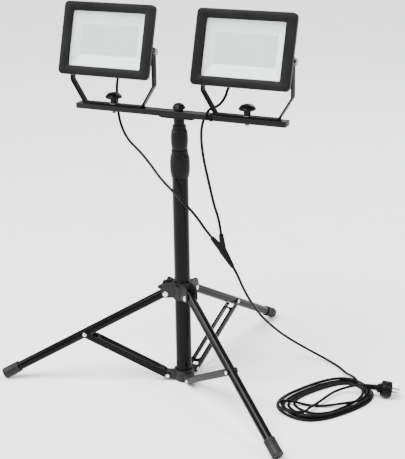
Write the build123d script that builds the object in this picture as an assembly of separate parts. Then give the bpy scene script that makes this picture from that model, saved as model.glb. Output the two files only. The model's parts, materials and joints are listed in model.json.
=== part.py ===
"""Twin LED work light on a folding telescopic tripod, in millimetres.

The origin is on the floor under the middle of the mast. +Z is up, +X runs along
the crossbar to the right-hand lamp, and the lamps face -Y.
"""
from build123d import *
import math
import os

os.makedirs("parts", exist_ok=True)

# ---- mast ---------------------------------------------------------------
OUTER_R, OUTER_WALL = 17.5, 1.5
MID_R, MID_WALL = 14.5, 1.3
INNER_R, INNER_WALL = 11.5, 1.0
LOWER_COLLAR_Z, LOWER_COLLAR_TOP = 477.0, 536.0
UPPER_COLLAR_Z, UPPER_COLLAR_TOP = 537.0, 589.0
OUTER_TOP = LOWER_COLLAR_Z + 14.0
MID_TOP = UPPER_COLLAR_Z + 15.0
MID_FOOT, INNER_FOOT = 60.0, 100.0
SLIP = 0.3                      # gap between faces that slide or turn on each other
RUNNING = 0.1                   # radial gap of a pin or screw in its hole

# ---- tripod -------------------------------------------------------------
LEG_AZIMUTHS = {"left": 202.2, "front": 322.2, "back": 82.2}
PIVOT_OUT = 37.0                # both ends of the linkage, out from the mast's axis
HUB_Z = 212.0                   # leg pivots
LEG_ANGLE = 61.46               # leg from vertical when open
LEG_R, LEG_WALL, LEG_LENGTH = 10.0, 1.2, 423.0
LINK = 208.5                    # brace length, and brace pivot's distance down the leg
LOW_Z = HUB_Z - 2 * LINK * math.cos(math.radians(LEG_ANGLE))
FOOT_R, FOOT_LENGTH = 12.5, 40.0
RIVET_R = 3.0
HUB_R, LOWER_HUB_R = 21.3, 22.5
HUB_EAR_IN, HUB_EAR_OUT = LEG_R + 0.35, LEG_R + 3.85
BRACE_IN, BRACE_OUT = LEG_R + 0.35, LEG_R + 2.15
KNOB_AZIMUTH = 160.0            # between the left and the back leg

# ---- crossbar and yokes --------------------------------------------------
BAR_LENGTH, BAR_DEPTH, BAR_HEIGHT, BAR_WALL = 483.0, 24.0, 12.0, 1.5
BAR_TOP = 619.0
BAR_BOTTOM = BAR_TOP - BAR_HEIGHT
CAP = 2.0
PLATE = 3.0
STUD_R = 4.0
LAMP_X = 154.0                  # lamp centres, out from the mast
STRAP, STRAP_WIDTH = 3.0, 18.0
YOKE_BASE, YOKE_HALF, YOKE_RISE = 70.0, 98.0, 48.0
TILT_Z = 739.0                  # tilt axis

# ---- lamp head -----------------------------------------------------------
HEAD_W, HEAD_H, HEAD_CORNER = 214.0, 154.0, 10.0
TILT = 17.3                     # lamps look this far above level
FACE = -30.8                    # front face, measured from the tilt axis
RAISE = 15.0                    # middle of the face, above the tilt axis
WINDOW_W, WINDOW_H = 170.0, 116.5
BODY_W, BODY_H = 190.0, 138.0
BACK = FACE + 24.0              # rear wall of the housing
BOARD_W, BOARD_H = 150.0, 80.0
LIT_W, LIT_H = 134.0, 64.0      # opening in the reflector
COVER_BACK = 12.0
GLAND_DROP = 30.0               # gland points this far below level, seen from the head
GLAND_END = 43.8

# ---- cords ---------------------------------------------------------------
CORD_D = 6.0
CORD_START = 44.0               # where each lamp's cord leaves its gland
SPLIT_LEFT, SPLIT_RIGHT = (83, -23, 357), (102, -18.5, 366)
SPLIT_MIDDLE, SPLIT_OUT = (106, -17, 328), (127, -15, 295)

LEFT_ROUTE = [
    (-154, 29.84, 706.66), (-154, 39.3, 696.4), (-157, 46.5, 679), (-161.5, 48.5, 656),
    (-163, 46, 629), (-158, 39, 599), (-146, 29.5, 569), (-124, 18, 541), (-96, 4, 518),
    (-65, -11.5, 497), (-33, -28, 476), (0, -44, 459.5), (28, -53, 442), (47, -46.5, 420),
    (60, -37, 397.5), (69.2, -26.6, 374.4), (83, -23, 357),
]
RIGHT_ROUTE = [
    (154, 29.84, 706.66), (154, 38.5, 697.3), (148.5, 45.8, 690), (138, 50.5, 684.5),
    (120, 52, 682.5), (101, 50.5, 677.5), (91, 48.5, 665), (87.5, 45, 649), (81, 38, 635),
    (74.5, 25, 628.3), (71.5, 9, 628.6), (71.3, -7, 628.5), (70.3, -18, 620.5),
    (66.5, -24.5, 609), (62.5, -25.5, 590), (61, -22.5, 562), (64.5, -20.5, 527), (72, -19.5, 492),
    (80, -20, 459), (88, -20.5, 427), (98.8, -19.7, 396.4), (102, -18.5, 366),
]
MAIN_ROUTE = [
    (127, -15, 295), (134.35, -14.3, 283.45), (138, -5, 264), (140.5, 12, 236),
    (146, 39, 197), (153.5, 71, 156.5), (162, 107, 121), (173.5, 139.5, 89), (191, 168, 61),
    (215, 190.5, 36.5), (246, 205.5, 15.5), (278, 206, 3), (306, 186.5, 3), (329, 161, 4.5),
    (350, 135.3, 9.5),
]
TAIL_ROUTE = [
    (299, -56.2, 9), (311, -38.5, 9), (321, -12, 9), (327, 20, 9), (334.5, 50, 9),
    (349, 71.5, 11), (368, 79, 17.5), (387, 76.8, 25), (400, 73.2, 27.7),
]
COIL_MIDDLE, COIL_TURN = (326.5, 24.5), 60.0
COIL_LENGTH, COIL_WIDTH, COIL_CORNER, COIL_BAND, COIL_HEIGHT = 229.0, 147.0, 66.0, 28.0, 15.0
PLUG_AT = (442.3, 89.8, 20.0)   # middle of the plug's body
PLUG_HEADING, PLUG_DIP, PLUG_ROLL = 21.4, 9.6, 42.5
PLUG_R, PLUG_HALF, PLUG_NECK = 18.0, 11.0, 46.0
PLUG_PIN, PLUG_PIN_R, PLUG_PIN_GAP = 19.0, 2.4, 19.0


# ---- helpers -------------------------------------------------------------
def save(shape, name):
    export_step(Compound(children=list(shape.solids()), label=name), f"parts/{name}.step")


def rod(r, start, end):
    """A round bar from one point to another."""
    a, b = Vector(*start), Vector(*end)
    plane = Plane(origin=a, z_dir=b - a)
    return plane * Cylinder(r, (b - a).length, align=(Align.CENTER, Align.CENTER, Align.MIN))


def taper(r0, r1, start, end):
    a, b = Vector(*start), Vector(*end)
    plane = Plane(origin=a, z_dir=b - a)
    return plane * Cone(r0, r1, (b - a).length, align=(Align.CENTER, Align.CENTER, Align.MIN))


def ring(r_out, r_in, z0, z1):
    return rod(r_out, (0, 0, z0), (0, 0, z1)) - rod(r_in, (0, 0, z0 - 1), (0, 0, z1 + 1))


def block(x0, x1, y0, y1, z0, z1):
    return Pos(x0, y0, z0) * Box(x1 - x0, y1 - y0, z1 - z0, align=(Align.MIN,) * 3)


def turned(points):
    """A solid of revolution about Z from (radius, height) points."""
    outline = Polyline(*[(r, 0, z) for r, z in points], close=True)
    return revolve(make_face(outline), axis=Axis.Z)


def outward(azimuth, r, z):
    a = math.radians(azimuth)
    return (r * math.cos(a), r * math.sin(a), z)


def fluted(body, count, r, depth_r, z0, z1):
    """Cuts upright grooves into a knob or collar."""
    for i in range(count):
        x, y, _ = outward(360 * i / count, r, 0)
        body -= rod(depth_r, (x, y, z0), (x, y, z1))
    return body


def cord_tube(name, points):
    """Straight runs joined by tangent arcs, each arc as large as its runs allow."""
    p = [Vector(*q) for q in points]
    runs = [b - a for a, b in zip(p, p[1:])]
    radii = []
    for a, b in zip(runs, runs[1:]):
        half_turn = math.radians(a.get_angle(b)) / 2
        radii.append(0.45 * min(a.length, b.length) / math.tan(half_turn))
    path = FilletPolyline(*p, radius=radii)
    section = Plane(origin=path @ 0, z_dir=path % 0) * Circle(CORD_D / 2)
    tube = sweep(section, path=path)
    expected = math.pi * CORD_D**2 / 4 * path.length
    print(f"{name}: {path.length:.0f} mm, volume ratio {tube.volume / expected:.3f}, radii",
          " ".join(f"{r:.0f}" for r in radii))
    return tube


# ---- mast ----------------------------------------------------------------
def make_mast():
    save(ring(OUTER_R, OUTER_R - OUTER_WALL, 3, OUTER_TOP), "outer_tube")
    base = rod(OUTER_R, (0, 0, 0), (0, 0, 3)) + ring(OUTER_R - OUTER_WALL, 9, 3, 16)
    save(chamfer(base.edges().sort_by(Axis.Z)[0], 1), "base_plug")

    mid_bore = MID_R - MID_WALL
    save(ring(MID_R, mid_bore, MID_FOOT, MID_TOP), "mid_tube")
    bush = ring(OUTER_R - OUTER_WALL - 0.2, 8, MID_FOOT - 16, MID_FOOT)
    save(bush + ring(mid_bore, 8, MID_FOOT, MID_FOOT + 14), "mid_bush")

    inner_bore = INNER_R - INNER_WALL
    save(ring(INNER_R, inner_bore, INNER_FOOT, BAR_BOTTOM - PLATE), "inner_tube")
    bush = ring(mid_bore - 0.2, 6, INNER_FOOT - 15, INNER_FOOT)
    save(bush + ring(inner_bore, 6, INNER_FOOT, INNER_FOOT + 12), "inner_bush")


def make_collar(name, z0, z1, r_max, r_low, r_high, tube_r, next_r, seat, flutes):
    """A twist collar: a fluted barrel that squeezes a split wedge on the tube inside it."""
    height = z1 - z0
    outline = [(tube_r + SLIP, z0), (r_low, z0), (r_low + 0.8, z0 + 0.10 * height),
               (r_max - 0.6, z0 + 0.16 * height), (r_max, z0 + 0.30 * height),
               (r_max, z0 + 0.55 * height), (r_max - 0.8, z0 + 0.74 * height),
               (r_high + 0.9, z0 + 0.80 * height), (r_high, z0 + 0.86 * height),
               (r_high - 0.6, z1), (next_r + SLIP, z1), (next_r + SLIP, seat + 20),
               (tube_r + 1.3, seat + 16), (tube_r + 1.3, seat - 1), (tube_r + SLIP, seat - 3)]
    body = turned(outline)
    body = fluted(body, flutes, r_max + 0.7, 1.5, z0 + 0.17 * height, z0 + 0.73 * height)
    save(body, f"{name}_collar")
    wedge = ring(tube_r + 0.9, next_r + SLIP, seat, seat + 12)
    save(wedge - block(0, 30, -1, 1, seat - 1, seat + 13), f"{name}_wedge")


def make_collars():
    make_collar("lower", LOWER_COLLAR_Z, LOWER_COLLAR_TOP, 21.3, 19.2, 18.2,
                OUTER_R, MID_R, OUTER_TOP, 20)
    make_collar("upper", UPPER_COLLAR_Z, UPPER_COLLAR_TOP, 18.2, 16.4, 15.0,
                MID_R, INNER_R, MID_TOP, 18)


# ---- tripod --------------------------------------------------------------
LEG_DIR = Vector(math.sin(math.radians(LEG_ANGLE)), 0, -math.cos(math.radians(LEG_ANGLE)))
BRACE_DIR = Vector(LEG_DIR.X, 0, -LEG_DIR.Z)
HUB_PIVOT = Vector(PIVOT_OUT, 0, HUB_Z)
LOW_PIVOT = Vector(PIVOT_OUT, 0, LOW_Z)
BRACE_PIVOT = HUB_PIVOT + LEG_DIR * LINK


def cross_pin(at, half, r=RIVET_R):
    """A pin along Y, through a point, in the frame of one leg."""
    return rod(r, (at.X, -half, at.Z), (at.X, half, at.Z))


def rivet(at, ear_out, head_r, gap):
    """A rivet with a domed head outside each ear."""
    start = ear_out + gap
    body = cross_pin(at, start)
    for side in (-1, 1):
        body += rod(head_r, (at.X, side * start, at.Z), (at.X, side * (start + 1.2), at.Z))
        body += taper(head_r, head_r * 0.55, (at.X, side * (start + 1.2), at.Z),
                      (at.X, side * (start + 2.3), at.Z))
    return body


def around(shape):
    """The same shape at each of the three legs."""
    copies = [Rot(0, 0, az) * shape for az in LEG_AZIMUTHS.values()]
    return copies[0] + copies[1] + copies[2]


def make_hub():
    """The runner that slides on the mast and carries the leg tops in forked ears."""
    body = ring(HUB_R, OUTER_R + SLIP, HUB_Z - 14, HUB_Z + 18)
    bore = rod(OUTER_R + SLIP, (0, 0, HUB_Z - 20), (0, 0, HUB_Z + 30))
    side = Polyline((12, 0, HUB_Z - 9), (PIVOT_OUT, 0, HUB_Z - 9), (PIVOT_OUT + 9, 0, HUB_Z),
                    (PIVOT_OUT + 9, 0, HUB_Z + 8), (PIVOT_OUT + 5, 0, HUB_Z + 20),
                    (PIVOT_OUT - 1, 0, HUB_Z + 24), (20, 0, HUB_Z + 26), (12, 0, HUB_Z + 26), close=True)
    fork = Pos(0, HUB_EAR_OUT, 0) * extrude(make_face(side), amount=2 * HUB_EAR_OUT, dir=(0, -1, 0))
    fork += cross_pin(HUB_PIVOT, HUB_EAR_OUT, 9)
    fork -= block(HUB_R + SLIP, 60, -HUB_EAR_IN, HUB_EAR_IN, HUB_Z - 30, HUB_Z + 40)
    fork -= cross_pin(HUB_PIVOT, 30)
    boss = rod(8.5, outward(KNOB_AZIMUTH, 14, HUB_Z + 6), outward(KNOB_AZIMUTH, 42, HUB_Z + 6))
    body = body + around(fork) + boss - bore
    body -= rod(STUD_R + RUNNING, outward(KNOB_AZIMUTH, 10, HUB_Z + 6),
                outward(KNOB_AZIMUTH, 50, HUB_Z + 6))
    save(body, "leg_hub")
    save(around(rivet(HUB_PIVOT, HUB_EAR_OUT, 6, 0)), "hub_rivets")


def make_hub_knob():
    """Wing knob on a short screw that presses on the mast."""
    z = HUB_Z + 6
    plane = Plane(origin=outward(KNOB_AZIMUTH, 42.3, z), x_dir=(0, 0, 1),
                  z_dir=outward(KNOB_AZIMUTH, 1, 0))
    up = (Align.CENTER, Align.CENTER, Align.MIN)
    head = Cylinder(7.5, 15, align=up)
    for side in (-1, 1):
        head += Pos(side * 15.5, 0, 6) * Cylinder(4.6, 11.5, align=up)
        head += Pos(side * 8, 0, 11) * Box(15, 7.2, 9)
    head = Rot(0, 0, 68) * head
    screw = Pos(0, 0, -24.3) * Cylinder(STUD_R, 24.3, align=up)
    save(plane * Compound(children=[*head.solids(), *screw.solids()]), "hub_lock_knob")


def make_lower_hub():
    """The fixed collar at the foot of the mast, with a lug for each brace."""
    body = ring(LOWER_HUB_R, OUTER_R, 3.5, 27)
    lug = block(12, PIVOT_OUT, -LEG_R, LEG_R, LOW_Z - 8, LOW_Z + 8)
    lug += cross_pin(LOW_PIVOT, LEG_R, 8)
    body = body + around(lug) - rod(OUTER_R, (0, 0, 0), (0, 0, 40)) - around(cross_pin(LOW_PIVOT, 30))
    save(body, "lower_hub")
    save(around(rivet(LOW_PIVOT, BRACE_OUT, 4.6, RUNNING)), "lower_hub_rivets")


def make_leg(name, azimuth):
    place = Rot(0, 0, azimuth)
    along = Plane(origin=HUB_PIVOT, x_dir=(0, 1, 0), z_dir=LEG_DIR)
    tube_end = LEG_LENGTH - 4
    start, end = HUB_PIVOT + LEG_DIR * -8, HUB_PIVOT + LEG_DIR * tube_end
    tube = rod(LEG_R, tuple(start), tuple(end))
    tube -= rod(LEG_R - LEG_WALL, tuple(start + LEG_DIR * 2.5), tuple(end + LEG_DIR))
    tube -= cross_pin(HUB_PIVOT, 30, RIVET_R + RUNNING)
    tube -= cross_pin(BRACE_PIVOT, 30)
    save(place * tube, f"{name}_leg")

    cap = Cylinder(FOOT_R, FOOT_LENGTH, align=(Align.CENTER, Align.CENTER, Align.MIN))
    cap = fillet(cap.edges().filter_by(GeomType.CIRCLE).sort_by(Axis.Z)[-1], 2)
    cap -= Cylinder(LEG_R, FOOT_LENGTH - 4, align=(Align.CENTER, Align.CENTER, Align.MIN))
    for s in (7, 11, 15):
        cap -= Pos(0, 0, s) * (Cylinder(FOOT_R + 1, 1.2) - Cylinder(FOOT_R - 0.6, 1.2))
    cap = along * (Pos(0, 0, LEG_LENGTH - FOOT_LENGTH) * cap)
    cap -= block(300, 500, -50, 50, -50, 0)
    save(place * cap, f"{name}_foot")
    save(place * rivet(BRACE_PIVOT, BRACE_OUT, 4.6, RUNNING), f"{name}_leg_rivet")


def make_brace(name, azimuth):
    """A pressed channel, open below, with a long slot in its web."""
    flat = Plane(origin=LOW_PIVOT, x_dir=BRACE_DIR, z_dir=(0, -1, 0))
    profile = Polyline((0, -7), (LINK, -7), (LINK, 7), (LINK - 22, 7), (LINK - 28, 8.5),
                       (12, 8.5), (6, 7), (0, 7), close=True)
    side = make_face(profile) + Pos(0, 0) * Circle(7) + Pos(LINK, 0) * Circle(7)
    wide = extrude(side, amount=BRACE_OUT, both=True)
    gap = extrude(Pos(LINK / 2, 0) * Rectangle(LINK + 60, 40), amount=BRACE_IN, both=True)
    web = extrude(Pos((LINK - 16) / 2, 7.7) * Rectangle(LINK - 40, 1.6), amount=BRACE_IN, both=True)
    body = flat * (wide - gap + web)
    slot_plane = Plane(origin=LOW_PIVOT, x_dir=BRACE_DIR, z_dir=BRACE_DIR.cross(Vector(0, -1, 0)))
    slot = extrude(Pos(LINK / 2 - 6, 0) * SlotOverall(LINK - 52, 16.5), amount=30, both=True)
    body -= slot_plane * slot
    body -= cross_pin(LOW_PIVOT, 30, RIVET_R + RUNNING)
    open_gap = SLIP if name != "left" else RUNNING
    body -= cross_pin(BRACE_PIVOT, 30, RIVET_R + open_gap)
    save(Rot(0, 0, azimuth) * body, f"{name}_brace")


def make_tripod():
    make_hub()
    make_hub_knob()
    make_lower_hub()
    for name, azimuth in LEG_AZIMUTHS.items():
        make_leg(name, azimuth)
        make_brace(name, azimuth)


# ---- crossbar ------------------------------------------------------------
def make_crossbar():
    half, depth = BAR_LENGTH / 2 - CAP, BAR_DEPTH / 2
    inside = depth - BAR_WALL
    tube = block(-half, half, -depth, depth, BAR_BOTTOM, BAR_TOP)
    tube = fillet(tube.edges().filter_by(Axis.X), 1.5)
    tube -= block(-half - 1, half + 1, -inside, inside, BAR_BOTTOM + BAR_WALL, BAR_TOP - BAR_WALL)
    inserts = []
    for x in (-LAMP_X, 0, LAMP_X):
        hole = rod(STUD_R + RUNNING, (x, 0, BAR_BOTTOM - 30), (x, 0, BAR_TOP + 9))
        tube -= hole
        inserts += (rod(6.5, (x, 0, BAR_BOTTOM + BAR_WALL), (x, 0, BAR_TOP - BAR_WALL)) - hole).solids()
    save(tube, "crossbar")
    save(Compound(children=inserts), "bar_inserts")

    caps = []
    for side in (-1, 1):
        x0, x1 = sorted((side * half, side * (half + CAP)))
        cap = block(x0, x1, -depth, depth, BAR_BOTTOM, BAR_TOP)
        cap = chamfer(cap.faces().sort_by(Axis.X)[0 if side < 0 else -1].edges(), 0.8)
        x0, x1 = sorted((side * (half - 12), side * half))
        cap += block(x0, x1, -inside, inside, BAR_BOTTOM + BAR_WALL, BAR_TOP - BAR_WALL)
        caps += cap.solids()
    save(Compound(children=caps), "bar_caps")

    plate = block(-42.5, 42.5, -depth, depth, BAR_BOTTOM - PLATE, BAR_BOTTOM)
    plate = chamfer(plate.faces().sort_by(Axis.Z)[0].edges().filter_by(Axis.Y), 2.9, 8)
    plate += rod(INNER_R - INNER_WALL, (0, 0, BAR_BOTTOM - PLATE - 14), (0, 0, BAR_BOTTOM - PLATE))
    plate -= rod(STUD_R + RUNNING, (0, 0, BAR_BOTTOM - 30), (0, 0, BAR_TOP))
    save(plate, "top_plate")

    tie_x, tie_w, t = 78.0, 4.0, 1.4
    tie = block(tie_x - tie_w / 2, tie_x + tie_w / 2, -depth - t, depth + t, BAR_BOTTOM - t, BAR_TOP + t)
    tie -= block(tie_x - 9, tie_x + 9, -depth, depth, BAR_BOTTOM, BAR_TOP)
    tie += block(tie_x - 3.2, tie_x + 3.2, -depth - 4.5, -depth, BAR_BOTTOM + 1, BAR_BOTTOM + 6)
    save(tie, "cable_tie")


def knob(x, y, z0, stem_r, stem_h, cap_r, cap_h, lobes, stud_foot):
    """A lobed clamping knob on a stem, with its moulded-in screw below it."""
    z1, z2 = z0 + stem_h, z0 + stem_h + cap_h
    body = turned([(0, z0), (stem_r, z0), (stem_r, z1 + 1), (cap_r - 2, z1), (cap_r, z1 + 1.5),
                   (cap_r, z1 + 0.3 * cap_h), (cap_r - 2, z1 + 0.52 * cap_h),
                   (cap_r * 0.7, z1 + 0.8 * cap_h), (cap_r * 0.36, z2 - 0.4), (0, z2)])
    body = fluted(body, lobes, cap_r + 1.6, 3.4, z1 - 1, z2 + 1)
    screw = rod(STUD_R, (0, 0, stud_foot), (0, 0, z0))
    return Pos(x, y, 0) * Compound(children=[*body.solids(), *screw.solids()])


def make_knobs():
    save(knob(0, 0, BAR_TOP, 9, 4, 13.8, 13, 8, BAR_BOTTOM - 15), "centre_knob")
    for name, side in (("left", -1), ("right", 1)):
        body = knob(side * LAMP_X, 0, BAR_TOP + STRAP, 7.5, 12, 18, 12.5, 7, BAR_BOTTOM - 4)
        save(body, f"{name}_yoke_knob")


def make_yoke(name, x):
    """A bent flat strap: base on the bar, arms up to the tilt axis."""
    z0 = BAR_TOP
    bend = z0 + YOKE_RISE
    run = math.hypot(YOKE_HALF - YOKE_BASE, YOKE_RISE)
    lean = math.atan2(YOKE_HALF - YOKE_BASE, YOKE_RISE)
    k0 = STRAP * math.tan((math.pi / 2 - lean) / 2)
    k1 = STRAP * math.tan(lean / 2)
    outer = [(YOKE_BASE, z0), (YOKE_HALF + STRAP / 2, bend), (YOKE_HALF + STRAP / 2, TILT_Z + 9)]
    inner = [(YOKE_HALF - STRAP / 2, TILT_Z + 9), (YOKE_HALF - STRAP / 2, bend + k1),
             (YOKE_BASE - k0, z0 + STRAP)]
    right = outer + inner
    left = [(-a, b) for a, b in reversed(right)]
    outline = Polyline(*[(a, 0, b) for a, b in right + left], close=True)
    half = STRAP_WIDTH / 2
    strap = Pos(0, half, 0) * extrude(make_face(outline), amount=STRAP_WIDTH, dir=(0, -1, 0))
    upright = [e for e in strap.edges().filter_by(Axis.X) if e.center().Z > TILT_Z]
    strap = fillet(upright, half - 0.2)
    strap = fillet([e for e in strap.edges().filter_by(Axis.Y)
                    if BAR_TOP - 1 < e.center().Z < bend + 5 and run > 0], 1.2)
    strap -= rod(STUD_R + RUNNING, (0, 0, z0 - 5), (0, 0, z0 + 9))
    strap -= rod(STUD_R + RUNNING, (-120, 0, TILT_Z), (120, 0, TILT_Z))
    save(Pos(x, 0, 0) * strap, f"{name}_yoke")


# ---- lamp heads ----------------------------------------------------------
def slab(w, h, r, y0, y1, middle=RAISE):
    """A plate facing -Y with rounded corners, in the head's own frame."""
    plane = Plane(origin=(0, y1, middle), x_dir=(1, 0, 0), z_dir=(0, -1, 0))
    return extrude(plane * RectangleRounded(w, h, r), amount=y1 - y0)


def pan(w0, h0, y0, w1, h1, y1):
    """A hollow that narrows from one rectangle to another, going back."""
    faces = [Plane(origin=(0, y, RAISE), x_dir=(1, 0, 0), z_dir=(0, -1, 0)) * Rectangle(w, h)
             for w, h, y in ((w0, h0, y0), (w1, h1, y1))]
    return loft(faces)


def make_housing():
    body = slab(205.6, 145.6, 7, FACE + 4, FACE + 11) + slab(BODY_W, BODY_H, 8, FACE + 11, BACK)
    body -= slab(178.4, 125.4, 4, FACE + 3, FACE + 7)
    body -= slab(174, 121, 3, FACE + 6.9, FACE + 18.6)
    fins = []
    for i in range(-10, 11):
        x = i * 8.4
        fins.append(block(x - 1.1, x + 1.1, BACK - 0.5, BACK + 9, RAISE - 60, RAISE + 60))
    for fin in fins:
        body += fin
    body -= block(-46, 46, BACK, BACK + 20, -29, 53)
    for side in (-1, 1):
        x0, x1 = sorted((side * 84, side * 96.2))
        body += block(x0, x1, FACE + 19, 0, -10, 10) + rod(10, (x0, 0, 0), (x1, 0, 0))
        body -= rod(STUD_R, (side * 85, 0, 0), (side * 100, 0, 0))
    body -= rod(4, (0, BACK - 8, 0), (0, BACK + 1, 0))
    return body


def make_bezel():
    body = slab(HEAD_W, HEAD_H, HEAD_CORNER, FACE, FACE + 10)
    body = chamfer(body.faces().sort_by(Axis.Y)[0].edges(), 1.2)
    body -= slab(206, 146, 7.2, FACE + 4, FACE + 11)
    body -= slab(WINDOW_W, WINDOW_H, 3, FACE - 1, FACE + 5)
    return body


def make_reflector():
    flange = slab(173.6, 120.6, 3, FACE + 7, FACE + 8) - pan(170, 117, FACE + 6, 170, 117, FACE + 9)
    shell = pan(172, 119, FACE + 8, LIT_W + 2, LIT_H + 2, FACE + 17)
    return flange + shell - pan(170, 117, FACE + 7.99, LIT_W, LIT_H, FACE + 17.01)


def gland_point(r):
    a = math.radians(GLAND_DROP)
    return (0, r * math.cos(a), -r * math.sin(a))


def make_driver_cover():
    body = block(-45, 45, BACK, COVER_BACK, -28, 52)
    body = fillet(body.edges().filter_by(Axis.Y) + body.faces().sort_by(Axis.Y)[-1].edges(), 3)
    body += rod(9, gland_point(6), gland_point(22))
    body -= block(-42.5, 42.5, BACK - 1, COVER_BACK - 2.5, -25.5, 49.5)
    body -= rod(5.5, gland_point(0), gland_point(30))
    return body


def make_gland():
    nut = Plane(origin=gland_point(22), z_dir=Vector(*gland_point(1)))
    body = nut * extrude(RegularPolygon(9.2, 6), amount=8)
    body += rod(5.5, gland_point(15), gland_point(22))
    body += taper(7, 3.7, gland_point(30), gland_point(GLAND_END))
    return body - rod(CORD_D / 2, gland_point(10), gland_point(50))


def make_pivot_bolts():
    bolts = []
    for side in (-1, 1):
        bolt = rod(STUD_R, (side * 85, 0, 0), (side * 99.7, 0, 0))
        bolt += rod(8, (side * 99.7, 0, 0), (side * 101, 0, 0))
        head = Plane(origin=(side * 101, 0, 0), z_dir=(side, 0, 0)) * extrude(RegularPolygon(7.2, 6), amount=5)
        bolts += (bolt + chamfer(head.faces().sort_by(Axis.X)[-1 if side > 0 else 0].edges(), 0.7)).solids()
    return Compound(children=bolts)


def make_heads():
    pieces = {
        "housing": make_housing(),
        "bezel": make_bezel(),
        "glass": slab(178, 125, 4, FACE + 4, FACE + 7),
        "reflector": make_reflector(),
        "led_board": slab(BOARD_W, BOARD_H, 2, FACE + 17, FACE + 18.6),
        "driver_cover": make_driver_cover(),
        "cable_gland": make_gland(),
        "pivot_bolts": make_pivot_bolts(),
    }
    for name, side in (("left", -1), ("right", 1)):
        place = Pos(side * LAMP_X, 0, TILT_Z) * Rot(-TILT, 0, 0)
        for piece, shape in pieces.items():
            save(place * shape, f"{name}_{piece}")


# ---- cords and plug --------------------------------------------------------
def make_cords():
    save(cord_tube("left_lamp_cord", LEFT_ROUTE), "left_lamp_cord")
    save(cord_tube("right_lamp_cord", RIGHT_ROUTE), "right_lamp_cord")
    save(cord_tube("main_cord", MAIN_ROUTE), "main_cord")

    splitter = Pos(*SPLIT_MIDDLE) * Sphere(8.5)
    for end in (SPLIT_LEFT, SPLIT_RIGHT):
        splitter += taper(5, 7.5, end, SPLIT_MIDDLE)
    splitter += taper(8.5, 4.5, SPLIT_MIDDLE, SPLIT_OUT)
    save(splitter, "cord_splitter")

    inset = 2 * COIL_BAND
    band = RectangleRounded(COIL_LENGTH, COIL_WIDTH, COIL_CORNER)
    band -= RectangleRounded(COIL_LENGTH - inset, COIL_WIDTH - inset, COIL_CORNER - COIL_BAND)
    coil = extrude(band, amount=COIL_HEIGHT)
    coil = chamfer(coil.edges().group_by(Axis.Z)[-1], 3)
    coil = Pos(*COIL_MIDDLE, 0) * Rot(0, 0, COIL_TURN) * coil
    tail = cord_tube("cord_coil's last strand", TAIL_ROUTE)
    save(Compound(children=[*coil.solids(), *tail.solids()]), "cord_coil")


def make_plug():
    """A round two-pin plug lying on its rim, with its axis along local Z."""
    place = Pos(*PLUG_AT) * Rot(0, 0, PLUG_HEADING) * Rot(0, 90 + PLUG_DIP, 0) * Rot(0, 0, PLUG_ROLL)
    back, face, neck = -PLUG_HALF, PLUG_HALF, -PLUG_NECK
    body = turned([(0, neck), (4.3, neck), (6.2, back - 9), (9, back - 8), (9, back - 3), (13, back),
                   (PLUG_R - 1.5, back + 1), (PLUG_R, back + 4), (PLUG_R, face - 2),
                   (PLUG_R - 1, face), (0, face)])
    save(place * body, "plug_body")
    pins = []
    for side in (-1, 1):
        pin = Pos(side * PLUG_PIN_GAP / 2, 0, face) * Cylinder(
            PLUG_PIN_R, PLUG_PIN, align=(Align.CENTER, Align.CENTER, Align.MIN))
        pins += (place * chamfer(pin.edges().sort_by(Axis.Z)[-1], 0.8)).solids()
    save(Compound(children=pins), "plug_pins")


make_mast()
make_collars()
make_tripod()
make_crossbar()
make_knobs()
make_yoke("left", -LAMP_X)
make_yoke("right", LAMP_X)
make_heads()
make_cords()
make_plug()
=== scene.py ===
"""Looks of the twin work light: camera, cords, finishes and fine detail, in metres."""

import json
import math

import bmesh
import bpy
from mathutils import Matrix, Vector


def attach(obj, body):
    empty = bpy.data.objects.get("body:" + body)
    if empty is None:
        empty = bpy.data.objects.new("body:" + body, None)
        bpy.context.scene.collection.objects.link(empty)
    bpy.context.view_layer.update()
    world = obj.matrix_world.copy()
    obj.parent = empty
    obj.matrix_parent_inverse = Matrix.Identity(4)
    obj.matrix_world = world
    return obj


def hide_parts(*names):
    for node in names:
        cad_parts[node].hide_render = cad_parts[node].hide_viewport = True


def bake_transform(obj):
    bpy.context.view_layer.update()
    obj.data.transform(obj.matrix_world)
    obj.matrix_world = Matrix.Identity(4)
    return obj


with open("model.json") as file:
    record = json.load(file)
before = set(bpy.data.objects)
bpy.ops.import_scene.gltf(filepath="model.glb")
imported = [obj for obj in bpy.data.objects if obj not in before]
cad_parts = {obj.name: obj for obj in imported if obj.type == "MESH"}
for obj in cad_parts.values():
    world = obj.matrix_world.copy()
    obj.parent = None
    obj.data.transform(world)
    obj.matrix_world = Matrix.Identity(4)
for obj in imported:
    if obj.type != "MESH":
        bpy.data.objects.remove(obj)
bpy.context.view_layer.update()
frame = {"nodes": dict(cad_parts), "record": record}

MM = 0.001
NODES = frame["nodes"]
BODY_OF = {node: body for body, nodes in frame["record"]["behaviour"]["bodies"].items() for node in nodes}
SLOT_OF = {part["node"]: part["material_slot"] for part in frame["record"]["subparts"]}
# The bar, its plate and the yokes are duller than the mast and legs, which share their slot.
FINISH_OF = {
    "crossbar": "satin_paint", "top_plate": "satin_paint",
    "left_yoke": "dull_paint", "right_yoke": "dull_paint",
}
SIDES = (("left", -1), ("right", 1))
LEGS = ("left", "front", "back")

LAMP_X, TILT_Z, TILT = 0.154, 0.739, math.radians(17.3)
FACE, RAISE = -0.0308, 0.015    # lamp's front face and middle, from its tilt axis
BOARD_Y = FACE + 0.017          # front of the LED board
CORD_D = 0.006


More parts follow.
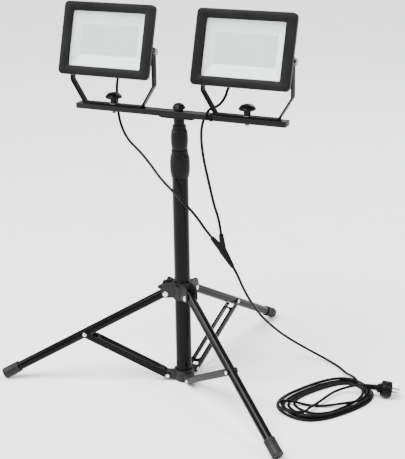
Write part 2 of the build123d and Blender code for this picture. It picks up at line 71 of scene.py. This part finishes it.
# ---- camera and stage ----------------------------------------------------
CAMERA_AT, CAMERA_LENS = (1.01816, -2.0913, 1.16629), 89.4
CAMERA_YAW, CAMERA_PITCH, CAMERA_ROLL = math.radians(24.832), math.radians(19.202), math.radians(-0.802)
STAND_MIDDLE = (0, 0, 0.4)
AREA_LIGHTS = (                 # name, place, size and power
    ("light_above", (-0.6, -1.2, 3.0), 2.2, 90),
    ("light_left", (-2.6, -1.2, 1.6), 0.9, 60),
    ("light_right", (2.4, -0.6, 1.9), 0.8, 50),
    ("light_behind", (0.2, 2.6, 2.2), 1.2, 40),
)
WORLD_COLOUR, WORLD_STRENGTH = (0.93, 0.95, 1.0, 1), 0.8
FLOOR_HALF, FLOOR_DROP = 40.0, 0.0002


def make_camera():
    data = bpy.data.cameras.new("camera")
    data.lens, data.sensor_width, data.sensor_fit = CAMERA_LENS, 36, "AUTO"
    camera = bpy.data.objects.new("camera", data)
    bpy.context.scene.collection.objects.link(camera)
    ahead = math.cos(CAMERA_PITCH)
    forward = Vector((-math.sin(CAMERA_YAW) * ahead, math.cos(CAMERA_YAW) * ahead, -math.sin(CAMERA_PITCH)))
    level = Vector((math.cos(CAMERA_YAW), math.sin(CAMERA_YAW), 0))
    upward = level.cross(forward)
    right = math.cos(CAMERA_ROLL) * level + math.sin(CAMERA_ROLL) * upward
    up = math.cos(CAMERA_ROLL) * upward - math.sin(CAMERA_ROLL) * level
    turn = Matrix((right, up, -forward)).transposed().to_4x4()
    camera.matrix_world = Matrix.Translation(CAMERA_AT) @ turn
    bpy.context.scene.camera = camera


def add_light(name, data, at, target):
    light = bpy.data.objects.new(name, data)
    bpy.context.scene.collection.objects.link(light)
    light.location = at
    light.rotation_euler = (Vector(target) - Vector(at)).to_track_quat("-Z", "Y").to_euler()


def make_lights():
    """A broad sun for even light over the whole floor, and four soft lamps round the stand."""
    sun = bpy.data.lights.new("light_even", "SUN")
    sun.energy, sun.angle = 6.0, math.radians(40)
    add_light("light_even", sun, (-1.0, -1.6, 3.4), (0, 0, 0))
    for name, at, size, power in AREA_LIGHTS:
        data = bpy.data.lights.new(name, "AREA")
        data.shape, data.size, data.energy = "SQUARE", size, power
        add_light(name, data, at, STAND_MIDDLE)


def make_stage():
    make_lights()
    world = bpy.context.scene.world or bpy.data.worlds.new("world")
    bpy.context.scene.world = world
    world.use_nodes = True
    background = world.node_tree.nodes["Background"]
    background.inputs[0].default_value = WORLD_COLOUR
    background.inputs[1].default_value = WORLD_STRENGTH

    mesh = bpy.data.meshes.new("floor")
    corners = [(x * FLOOR_HALF, y * FLOOR_HALF, 0) for x, y in ((-1, -1), (1, -1), (1, 1), (-1, 1))]
    mesh.from_pydata(corners, [], [(0, 1, 2, 3)])
    floor = bpy.data.objects.new("floor", mesh)
    bpy.context.scene.collection.objects.link(floor)
    floor.location.z = -FLOOR_DROP
    mesh.materials.append(surface("floor_white", (0.88, 0.885, 0.89), (0.90, 0.90, 0.90), (0.60, 0.68), 6))


# ---- materials -----------------------------------------------------------
def surface(name, dark, light, rough, scale, bump=0.0, fine=400.0, metallic=0.0, specular=0.5, wear=None):
    """A principled surface whose colour and roughness follow noise, with fine-grained bump.

    wear is (colour, roughness) that shows in small scuffs."""
    material = bpy.data.materials.new(name)
    material.use_nodes = True
    tree = material.node_tree
    shader = tree.nodes["Principled BSDF"]
    shader.inputs["Metallic"].default_value = metallic
    shader.inputs["Specular IOR Level"].default_value = specular
    place = tree.nodes.new("ShaderNodeTexCoord")

    def grey(value):
        return value, value, value

    def noise(size, detail):
        node = tree.nodes.new("ShaderNodeTexNoise")
        node.inputs["Scale"].default_value = size
        node.inputs["Detail"].default_value = detail
        tree.links.new(place.outputs["Object"], node.inputs["Vector"])
        return node.outputs["Fac"]

    def ramp(value, low, high, start=0.3, end=0.7):
        node = tree.nodes.new("ShaderNodeValToRGB")
        node.color_ramp.elements[0].position, node.color_ramp.elements[1].position = start, end
        node.color_ramp.elements[0].color = (*low, 1)
        node.color_ramp.elements[1].color = (*high, 1)
        tree.links.new(value, node.inputs["Fac"])
        return node.outputs["Color"]

    def worn(output, scuff, value):
        node = tree.nodes.new("ShaderNodeMixRGB")
        node.inputs["Color2"].default_value = (*value, 1)
        tree.links.new(scuff, node.inputs["Fac"])
        tree.links.new(output, node.inputs["Color1"])
        return node.outputs["Color"]

    broad = noise(scale, 4)
    colour = ramp(broad, dark, light)
    roughness = ramp(broad, grey(rough[0]), grey(rough[1]))
    if wear:
        scuff = ramp(noise(scale * 9, 6), grey(0), grey(1), 0.66, 0.78)
        colour = worn(colour, scuff, wear[0])
        roughness = worn(roughness, scuff, grey(wear[1]))
    tree.links.new(colour, shader.inputs["Base Color"])
    tree.links.new(roughness, shader.inputs["Roughness"])
    if bump:
        node = tree.nodes.new("ShaderNodeBump")
        node.inputs["Strength"].default_value = bump
        node.inputs["Distance"].default_value = 0.0004
        tree.links.new(noise(fine, 3), node.inputs["Height"])
        tree.links.new(node.outputs["Normal"], shader.inputs["Normal"])
    return material


BLACK, SOFT_BLACK = (0.0012, 0.0012, 0.0013), (0.0026, 0.0026, 0.0028)
SCUFFED = (0.005, 0.005, 0.0052)
FINISHES = {                    # darker colour, lighter colour, roughness, noise scale, and the rest
    "black_paint": (BLACK, SOFT_BLACK, (0.14, 0.22), 9,
                    dict(bump=0.03, fine=260, specular=0.08, wear=(SCUFFED, 0.32))),
    "satin_paint": (SOFT_BLACK, (0.0044, 0.0044, 0.0047), (0.30, 0.40), 11,
                    dict(bump=0.12, fine=700, specular=0.13, wear=((0.008, 0.008, 0.0084), 0.42))),
    "dull_paint": (BLACK, SOFT_BLACK, (0.34, 0.46), 11,
                   dict(bump=0.12, fine=700, specular=0.06, wear=(SCUFFED, 0.5))),
    "lamp_casting": ((0.0028, 0.0028, 0.003), (0.0052, 0.0052, 0.0056), (0.36, 0.48), 14,
                     dict(bump=0.25, fine=900, specular=0.11, wear=((0.009, 0.009, 0.0095), 0.46))),
    "grey_plastic": ((0.0062, 0.0063, 0.0068), (0.0105, 0.0106, 0.0112), (0.40, 0.52), 18,
                     dict(bump=0.2, fine=1100, specular=0.17)),
    "black_plastic": (BLACK, SOFT_BLACK, (0.32, 0.44), 20, dict(bump=0.2, fine=1200, specular=0.12)),
    "pale_plastic": ((0.52, 0.50, 0.45), (0.62, 0.60, 0.54), (0.4, 0.5), 22, dict(bump=0.15, fine=900)),
    "bright_steel": ((0.55, 0.55, 0.56), (0.78, 0.78, 0.79), (0.16, 0.30), 60,
                     dict(bump=0.08, fine=900, metallic=1.0)),
    "grey_steel": ((0.16, 0.16, 0.165), (0.27, 0.27, 0.275), (0.28, 0.40), 60,
                   dict(bump=0.1, fine=900, metallic=1.0)),
    "cord_rubber": ((0.0014, 0.0014, 0.0016), (0.0032, 0.0032, 0.0035), (0.32, 0.44), 30,
                    dict(bump=0.12, fine=700, specular=0.08)),
    "foot_rubber": ((0.0022, 0.0022, 0.0024), (0.005, 0.005, 0.0053), (0.50, 0.66), 26,
                    dict(bump=0.3, fine=1300, specular=0.25)),
    "plated_brass": ((0.33, 0.325, 0.30), (0.50, 0.49, 0.46), (0.14, 0.26), 80,
                     dict(metallic=1.0, bump=0.04)),
    "window_glass": ((0.93, 0.97, 0.96), (0.97, 0.99, 0.98), (0.015, 0.05), 12, {}),
    "white_reflector": ((0.93, 0.935, 0.94), (0.96, 0.965, 0.97), (0.24, 0.34), 16,
                        dict(bump=0.05, fine=500)),
    "led_board": ((0.62, 0.68, 0.64), (0.68, 0.74, 0.70), (0.40, 0.50), 30, dict(bump=0.06)),
    "led_lens": ((0.76, 0.74, 0.46), (0.84, 0.81, 0.54), (0.22, 0.34), 120, {}),
    "led_case": ((0.74, 0.76, 0.74), (0.82, 0.83, 0.80), (0.30, 0.42), 120, {}),
    "seal_rubber": ((0.02, 0.02, 0.021), (0.03, 0.03, 0.031), (0.5, 0.62), 50, dict(bump=0.1)),
}


def make_materials():
    made = {name: surface(name, dark, light, rough, scale, **rest)
            for name, (dark, light, rough, scale, rest) in FINISHES.items()}
    glass = made["window_glass"].node_tree.nodes["Principled BSDF"]
    glass.inputs["Transmission Weight"].default_value = 1.0
    glass.inputs["IOR"].default_value = 1.12
    return made


def finish_of(node):
    return MATERIALS[FINISH_OF.get(node, SLOT_OF[node])]


def finish_nodes():
    for node, obj in NODES.items():
        obj.data.materials.clear()
        obj.data.materials.append(finish_of(node))
        for polygon in obj.data.polygons:
            polygon.material_index = 0


# ---- mesh helpers --------------------------------------------------------
def piece(name, bm, material, body, smooth=True):
    mesh = bpy.data.meshes.new(name)
    bmesh.ops.recalc_face_normals(bm, faces=bm.faces)
    bm.to_mesh(mesh)
    bm.free()
    for polygon in mesh.polygons:
        polygon.use_smooth = smooth
    if smooth:
        sharpen(mesh)
    mesh.materials.append(material)
    obj = bpy.data.objects.new(name, mesh)
    bpy.context.scene.collection.objects.link(obj)
    if body:
        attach(obj, body)
    return obj


def sharpen(mesh, angle=32):
    """Marks the edges that are sharper than the angle, so that smooth shading stops there."""
    bm = bmesh.new()
    bm.from_mesh(mesh)
    limit = math.radians(angle)
    for edge in bm.edges:
        if len(edge.link_faces) == 2:
            edge.smooth = edge.calc_face_angle(0) < limit
    bm.to_mesh(mesh)
    bm.free()


def skin(bm, rings):
    """Joins closed rings of vertices, one to the next, and caps both ends."""
    count = len(rings[0])
    for lower, upper in zip(rings, rings[1:]):
        for i in range(count):
            bm.faces.new((lower[i], lower[(i + 1) % count], upper[(i + 1) % count], upper[i]))
    bm.faces.new(rings[0][::-1])
    bm.faces.new(rings[-1])


def turned(bm, outline, steps=24, place=Matrix.Identity(4)):
    """Adds a solid of revolution about Z from (radius, height) points, closed at both ends."""
    rings = []
    for radius, height in outline:
        ring = []
        for i in range(steps):
            a = math.tau * i / steps
            ring.append(bm.verts.new(place @ Vector((radius * math.cos(a), radius * math.sin(a), height))))
        rings.append(ring)
    skin(bm, rings)


def linked(verts):
    """All vertices that edges join to the given ones."""
    found, grow = set(verts), list(verts)
    while grow:
        v = grow.pop()
        for edge in v.link_edges:
            other = edge.other_vert(v)
            if other not in found:
                found.add(other)
                grow.append(other)
    return list(found)


def brick(bm, size, place, bevel=0.0):
    """Adds a block centred on a place, with softened edges."""
    verts = bmesh.ops.create_cube(bm, size=1.0)["verts"]
    bmesh.ops.scale(bm, vec=size, verts=verts)
    if bevel:
        edges = list({e for v in verts for e in v.link_edges})
        made = bmesh.ops.bevel(bm, geom=edges, offset=bevel, segments=2, affect="EDGES", profile=0.5)
        verts = linked({v for f in made["faces"] for v in f.verts})
    bmesh.ops.transform(bm, matrix=place, verts=verts)


def softened(node, width=0.0006, segments=2, angle=28):
    """A copy of a CAD node with its hard edges rounded, standing for the node."""
    bm = bmesh.new()
    bm.from_mesh(NODES[node].data)
    bmesh.ops.remove_doubles(bm, verts=bm.verts, dist=2e-6)
    bmesh.ops.dissolve_limit(bm, angle_limit=math.radians(1.0), verts=bm.verts, edges=bm.edges,
                             delimit={"NORMAL"})
    limit = math.radians(angle)
    hard = [e for e in bm.edges if len(e.link_faces) == 2 and e.calc_face_angle(0) > limit]
    bmesh.ops.bevel(bm, geom=hard, offset=width, segments=segments, affect="EDGES", profile=0.5,
                    clamp_overlap=True)
    bmesh.ops.triangulate(bm, faces=[f for f in bm.faces if len(f.verts) > 4])
    obj = piece(f"{node}_finished", bm, finish_of(node), BODY_OF[node])
    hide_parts(node)
    return obj


# ---- cords ---------------------------------------------------------------
# Control points of the cords' curves, in mm.
LEFT_ROUTE = [
    (-154, 29.84, 706.66), (-155, 39.3, 696.4), (-165, 46.5, 679), (-170.7, 47, 656),
    (-171, 44.5, 629), (-166, 37.5, 599), (-154.5, 27.5, 568), (-131.5, 15.5, 540), (-96, 4, 520),
    (-64, -11.5, 499), (-33, -28, 476), (0, -44, 459.5), (28, -53, 442), (47, -46.5, 420),
    (60, -37, 397.5), (69.2, -26.6, 374.4), (83, -23, 357),
]
RIGHT_ROUTE = [
    (154, 29.84, 706.66), (154, 38.5, 697.3), (148.5, 45.8, 690), (138, 50.5, 684.5),
    (120, 52, 682.5), (101, 50.5, 677.5), (91, 48.5, 665), (87.5, 45, 649), (81, 38, 635),
    (74.5, 25, 628.3), (71.5, 9, 628.6), (71.3, -7, 628.5), (70.3, -18, 620.5),
    (66.5, -24.5, 609), (62.5, -25.5, 590), (61, -22.5, 562), (64.5, -20.5, 527), (72, -19.5, 492),
    (80, -20, 459), (88, -20.5, 427), (98.8, -19.7, 396.4), (102, -18.5, 366),
]
MAIN_ROUTE = [
    (127, -15, 295), (134.35, -14.3, 283.45), (138, -5, 264), (140.5, 12, 236),
    (146, 39, 197), (153.5, 71, 156.5), (162, 107, 121), (173.5, 139.5, 89), (191, 168, 61),
    (215, 190.5, 36.5), (246, 205.5, 15.5), (278, 206, 3), (306, 186.5, 3), (329, 161, 4.5),
]
TAIL_ROUTE = [
    (311, -38.5, 9.6), (321, -12, 9.8), (327, 20, 9), (334.5, 50, 9),
    (349, 71.5, 11), (368, 79, 17.5), (387, 76.8, 25), (400, 73.2, 27.7),
]
COIL_AT, COIL_TURN = Vector((325, 30, 0)), math.radians(60)
# How far each loose turn reaches from the coil's middle, in mm: right, near, left, far, then its height.
COIL_TURNS = [
    (88, 58, 77, 40, 3.0), (95, 64.5, 92, 46, 3.0), (102, 71, 104, 54, 3.0), (109, 77.0, 116, 67, 3.0),
    (104, 73.0, 108, 58, 9.2),
]
TURN_SHAPE = 2.6                # between an ellipse, 2, and a rectangle
QUARTERS, PER_QUARTER = 4, 5    # control points of one turn
ENTRY_LIFT, ENTRY_FADE = 8, 5   # the first turn starts this much higher, in mm, and sinks over these points
# The cord's way into the coil and its last, crossing strand: along and across the coil, and height, in mm.
ENTRY = [(107, -38, 11), (99, -14, 16.2), (90, 6, 14)]
STRANDS = [
    (99, -12, 9.3), (98, 14, 9.2), (86, 41, 9.2), (62, 58, 9.3), (34, 61, 9.4), (5, 50, 9.4),
    (-24, 30, 4.6), (-42, 13, 3.0), (-57, -2, 4.6), (-74, -21, 9.8), (-92, -32.5, 12.6),
    (-111, -27.5, 15.8), (-122.5, -10, 16), (-120.5, 12, 16), (-106, 29, 15.6), (-86, 34, 11.6),
]
HEAD_TO_YOKE, YOKE_TO_BAR = 0.050, 0.130    # along a lamp's cord, where it passes to the next body
SPLITTER_TO_MID_MAST = 0.135                # along the main cord, likewise
RING_STEPS, SMALLEST_STEP = 12, 0.0002


def coil_point(along, across, z):
    """A point of the coil, from its place along and across the coil's own long axis."""
    turn = Matrix.Rotation(COIL_TURN, 3, "Z")
    return COIL_AT + turn @ Vector((along, -across, 0)) + Vector((0, 0, z))


def coil_turns():
    """Loose turns, each a rounded outline through its four reaches, running into the next."""
    points = []
    for turn, following in zip(COIL_TURNS, COIL_TURNS[1:] + COIL_TURNS[-1:]):
        reach = (*turn[:QUARTERS], following[0])
        for quarter in range(QUARTERS):
            for step in range(PER_QUARTER):
                share = step / PER_QUARTER
                a = math.pi / 2 * share
                first = reach[quarter] * math.cos(a) ** (2 / TURN_SHAPE)
                second = reach[quarter + 1] * math.sin(a) ** (2 / TURN_SHAPE)
                along, across = ((first, second), (-second, first), (-first, -second),
                                 (second, -first))[quarter]
                height = turn[4] + (following[4] - turn[4]) * max(0, quarter + share - 3)
                points.append((along, across, height))
    return points


def spline(points):
    """The smooth line of a cord: points read from a NURBS curve through its route's control points."""
    curve = bpy.data.curves.new("line", "CURVE")
    curve.dimensions = "3D"
    curve.resolution_u = 6
    line = curve.splines.new("NURBS")
    line.points.add(len(points) - 1)
    for target, point in zip(line.points, points):
        target.co = (*point, 1)
    line.order_u = 3
    line.use_endpoint_u = True
    obj = bpy.data.objects.new("line", curve)
    bpy.context.scene.collection.objects.link(obj)
    bpy.context.view_layer.update()
    mesh = bpy.data.meshes.new_from_object(obj.evaluated_get(bpy.context.evaluated_depsgraph_get()))
    read = [v.co.copy() for v in mesh.vertices]
    bpy.data.objects.remove(obj)
    bpy.data.meshes.remove(mesh)
    kept = read[:1]
    for point in read[1:]:
        if (point - kept[-1]).length > SMALLEST_STEP:
            kept.append(point)
    return kept


def rings_along(line, radius):
    """Rings of points round a line, without twist from one to the next."""
    tangents = []
    for i in range(len(line)):
        before, after = line[max(i - 1, 0)], line[min(i + 1, len(line) - 1)]
        tangents.append((after - before).normalized())
    side = tangents[0].orthogonal().normalized()
    rings = []
    for point, tangent in zip(line, tangents):
        side = (side - tangent * side.dot(tangent)).normalized()
        other = tangent.cross(side)
        ring = []
        for k in range(RING_STEPS):
            a = math.tau * k / RING_STEPS
            ring.append(point + radius * (math.cos(a) * side + math.sin(a) * other))
        rings.append(ring)
    return rings


def tube_piece(name, rings, body):
    bm = bmesh.new()
    skin(bm, [[bm.verts.new(p) for p in ring] for ring in rings])
    return piece(name, bm, MATERIALS["cord_rubber"], body)


def cut(line, distances):
    """Indices of the line's points nearest to the given distances from its start."""
    found, run, wanted = [], 0.0, list(distances)
    for i, (a, b) in enumerate(zip(line, line[1:])):
        run += (b - a).length
        if wanted and run >= wanted[0]:
            found.append(i + 1)
            wanted.pop(0)
    return found


def make_lamp_cord(name, route):
    line = spline([Vector(p) * MM for p in route])
    rings = rings_along(line, CORD_D / 2)
    first, second = cut(line, (HEAD_TO_YOKE, YOKE_TO_BAR))
    slices = ((0, first), (first, second), (second, len(line) - 1))
    bodies = ((f"head_{name}", f"yoke_{name}"), (f"yoke_{name}", "top_mast"), None)
    for number, ((i, j), pair) in enumerate(zip(slices, bodies), 1):
        obj = tube_piece(f"{name}_cord_{number}", rings[i:j + 1], None if pair else "top_mast")
        if pair:
            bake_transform(obj)
        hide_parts(f"{name}_lamp_cord")
        pieces = []
        if number == 1:
            pieces = [softened(f"{name}_cable_gland", 0.0004)]
        elif number == 3 and name == "left":
            pieces = [softened("cord_splitter", 0.0008)]


def make_main_cord():
    points = [Vector(p) * MM for p in MAIN_ROUTE]
    turns = coil_turns()[1:-1]
    turns = [(a, b, z + ENTRY_LIFT * max(0, 1 - i / ENTRY_FADE)) for i, (a, b, z) in enumerate(turns)]
    for along, across, z in ENTRY + turns + STRANDS:
        points.append(coil_point(along, across, z) * MM)
    points += [Vector(p) * MM for p in TAIL_ROUTE]
    line = spline(points)
    rings = rings_along(line, CORD_D / 2)
    (middle,) = cut(line, (SPLITTER_TO_MID_MAST,))
    obj = tube_piece("main_cord_upper", rings[:middle + 1], None)
    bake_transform(obj)
    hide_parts("main_cord")
    obj = tube_piece("main_cord_lower", rings[middle:], None)
    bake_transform(obj)
    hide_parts("main_cord", "cord_coil")
    softened("plug_body", 0.0006)
    softened("plug_pins", 0.0003)


# ---- lamp heads ----------------------------------------------------------
LED_COLUMNS, LED_ROWS, LED_PITCH_X, LED_PITCH_Z = 12, 6, 0.0108, 0.0096
LED_CASE, LED_LENS = (0.0036, 0.0010, 0.0030), (0.0027, 0.0011, 0.0021)
SEAL_SIZE, SEAL_CORNER, SEAL_WIDTH = (0.1715, 0.118), 0.0035, 0.0016
SEAL_FRONT, SEAL_BACK = FACE + 0.0036, FACE + 0.0044
COVER_BACK, COVER_SCREW_X, COVER_SCREW_Z = 0.012, (-0.038, 0.038), (-0.021, 0.045)
SCREW_HEAD = [(0.0034, -0.001), (0.0034, 0.0010), (0.0028, 0.0018), (0.0012, 0.0021), (0.0012, 0.0012)]
WASHER_X, WASHER_R, WASHER_TEETH = 0.10105, 0.0080, 16


def head_place(side):
    """The lamp head's own frame: tilt axis through its origin, facing -Y."""
    return Matrix.Translation((side * LAMP_X, 0, TILT_Z)) @ Matrix.Rotation(-TILT, 4, "X")


def make_leds(name, place):
    cases, lenses = bmesh.new(), bmesh.new()
    for column in range(LED_COLUMNS):
        for row in range(LED_ROWS):
            x = (column - (LED_COLUMNS - 1) / 2) * LED_PITCH_X
            z = RAISE + (row - (LED_ROWS - 1) / 2) * LED_PITCH_Z
            at = place @ Matrix.Translation((x, BOARD_Y - 0.0003, z))
            brick(cases, LED_CASE, at)
            brick(lenses, LED_LENS, at @ Matrix.Translation((0, -0.0001, 0)))
    piece(f"{name}_led_cases", cases, MATERIALS["led_case"], f"head_{name}", smooth=False)
    piece(f"{name}_led_lenses", lenses, MATERIALS["led_lens"], f"head_{name}", smooth=False)


def frame_strip(bm, place, size, corner, thick, y0, y1, steps=6):
    """Adds a closed strip round a rounded rectangle, from y0 to y1."""
    def outline(inset):
        w, h, r = size[0] / 2 - inset, size[1] / 2 - inset, max(corner - inset, 0.0005)
        points = []
        for cx, cz, start in ((w - r, h - r, 0), (r - w, h - r, 90), (r - w, r - h, 180), (w - r, r - h, 270)):
            for i in range(steps + 1):
                a = math.radians(start + 90 * i / steps)
                points.append((cx + r * math.cos(a), RAISE + cz + r * math.sin(a)))
        return points
    loops = [[bm.verts.new(place @ Vector((x, y, z))) for x, z in outline(inset)]
             for inset, y in ((0, y0), (thick, y0), (thick, y1), (0, y1))]
    count = len(loops[0])
    for a, b in zip(loops, loops[1:] + loops[:1]):
        for i in range(count):
            bm.faces.new((a[i], a[(i + 1) % count], b[(i + 1) % count], b[i]))


def make_window_seal(name, place):
    bm = bmesh.new()
    frame_strip(bm, place, SEAL_SIZE, SEAL_CORNER, SEAL_WIDTH, SEAL_FRONT, SEAL_BACK)
    piece(f"{name}_window_seal", bm, MATERIALS["seal_rubber"], f"head_{name}")


def make_rear_screws(name, place):
    bm = bmesh.new()
    for x in COVER_SCREW_X:
        for z in COVER_SCREW_Z:
            at = place @ Matrix.Translation((x, COVER_BACK, z)) @ Matrix.Rotation(math.radians(-90), 4, "X")
            turned(bm, SCREW_HEAD, 16, at)
    piece(f"{name}_rear_screws", bm, MATERIALS["grey_steel"], f"head_{name}")


def make_bolt_teeth(name, side):
    """Teeth of the washers under the tilt bolts."""
    bm = bmesh.new()
    for face in (-1, 1):
        at = Matrix.Translation((side * LAMP_X + face * WASHER_X, 0, TILT_Z))
        at = at @ Matrix.Rotation(face * math.pi / 2, 4, "Y")
        for tooth in range(WASHER_TEETH):
            turn = Matrix.Rotation(math.tau * tooth / WASHER_TEETH, 4, "Z")
            brick(bm, (0.0016, 0.0008, 0.0008), at @ turn @ Matrix.Translation((WASHER_R, 0, 0.0002)), 0.0002)
    piece(f"{name}_bolt_teeth", bm, MATERIALS["grey_steel"], f"head_{name}")


def make_heads():
    for name, side in SIDES:
        place = head_place(side)
        for node in ("bezel", "housing", "driver_cover", "pivot_bolts"):
            softened(f"{name}_{node}", 0.0007 if node == "bezel" else 0.0004)
        make_leds(name, place)
        make_window_seal(name, place)
        make_rear_screws(name, place)
        make_bolt_teeth(name, side)
        softened(f"{name}_yoke", 0.0005)
        softened(f"{name}_yoke_knob", 0.0012, 3)


# ---- stand ---------------------------------------------------------------
MOULDED = ("leg_hub", "lower_hub", "hub_lock_knob", "centre_knob", "lower_collar", "upper_collar")
FORMED = ("crossbar", "bar_caps", "top_plate", "hub_rivets", "lower_hub_rivets", "base_plug")
GAP_Z, GAP_R0, GAP_R1 = 0.5366, 0.0146, 0.0158
STUD_R, BAR_BOTTOM, YOKE_TOP = 0.004, 0.607, 0.622
STUD_LENGTH, THREAD_PITCH, THREADS = 0.0056, 0.0008, 6
# The knobs' washers, as radius and height above the yoke.
KNOB_WASHER = [(0.0090, 0.0001), (0.0098, 0.0003), (0.0098, 0.0011), (0.0092, 0.0013), (0.0070, 0.0013)]
PLUG_AT, PLUG_YAW, PLUG_LEAN, PLUG_SPIN = (0.4423, 0.0898, 0.020), 21.4, 99.6, 42.5
RELIEF_RIBS, RELIEF_START, RELIEF_PITCH, RELIEF_R, RELIEF_TAPER = 6, -0.0425, 0.0036, 0.0052, 0.0003
GRIP_RIM = [(0.0090, -0.0175), (0.0106, -0.0168), (0.0106, -0.0152), (0.0090, -0.0145)]


def make_stand():
    for node in MOULDED:
        softened(node, 0.0009, 3)
    for node in FORMED:
        softened(node, 0.0005)
    for name in LEGS:
        softened(f"{name}_brace", 0.00035)
        softened(f"{name}_leg_rivet", 0.0004)
        softened(f"{name}_foot", 0.0006)


def make_collar_ring():
    """A thin ring that fills the gap between the two twist collars."""
    bm = bmesh.new()
    turned(bm, [(GAP_R0, GAP_Z - 0.0002), (GAP_R1, GAP_Z - 0.0001), (GAP_R1, GAP_Z + 0.0002),
                (GAP_R0, GAP_Z + 0.0003)], 32)
    piece("collar_gap_ring", bm, MATERIALS["black_plastic"], "mid_mast")


def make_stud_details():
    """Threaded steel tips under the bar, and a washer under each clamping knob."""
    for name, side in SIDES:
        place = Matrix.Translation((side * LAMP_X, 0, 0))
        foot = BAR_BOTTOM - STUD_LENGTH
        outline = [(STUD_R - 0.0008, foot)]
        for turn in range(THREADS):
            outline += [(STUD_R + 0.00025, foot + (turn + 0.5) * THREAD_PITCH),
                        (STUD_R - 0.0002, foot + (turn + 1) * THREAD_PITCH)]
        bm = bmesh.new()
        turned(bm, outline, 20, place)
        piece(f"{name}_stud_tip", bm, MATERIALS["bright_steel"], f"yoke_knob_{name}")
        bm = bmesh.new()
        turned(bm, [(radius, YOKE_TOP + height) for radius, height in KNOB_WASHER], 28, place)
        piece(f"{name}_knob_washer", bm, MATERIALS["grey_steel"], f"yoke_knob_{name}")


def make_plug_ribs():
    """Flexible ribs of the plug's strain relief, and the grip rim round its body."""
    place = Matrix.Translation(PLUG_AT)
    for angle, axis in ((PLUG_YAW, "Z"), (PLUG_LEAN, "Y"), (PLUG_SPIN, "Z")):
        place = place @ Matrix.Rotation(math.radians(angle), 4, axis)
    bm = bmesh.new()
    for number in range(RELIEF_RIBS):
        z = RELIEF_START + RELIEF_PITCH * number
        r = RELIEF_R + RELIEF_TAPER * number
        turned(bm, [(r - 0.0008, z), (r + 0.0006, z + 0.0005), (r + 0.0006, z + 0.0014),
                    (r - 0.0008, z + 0.0019)], 20, place)
    turned(bm, GRIP_RIM, 28, place)
    piece("plug_ribs", bm, MATERIALS["cord_rubber"], "root")


# ---- the scene -----------------------------------------------------------
MATERIALS = make_materials()
make_camera()
finish_nodes()
make_lamp_cord("left", LEFT_ROUTE)
make_lamp_cord("right", RIGHT_ROUTE)
make_main_cord()
make_stage()
make_heads()
make_stand()
make_collar_ring()
make_stud_details()
make_plug_ribs()
softened("cable_tie", 0.0003)
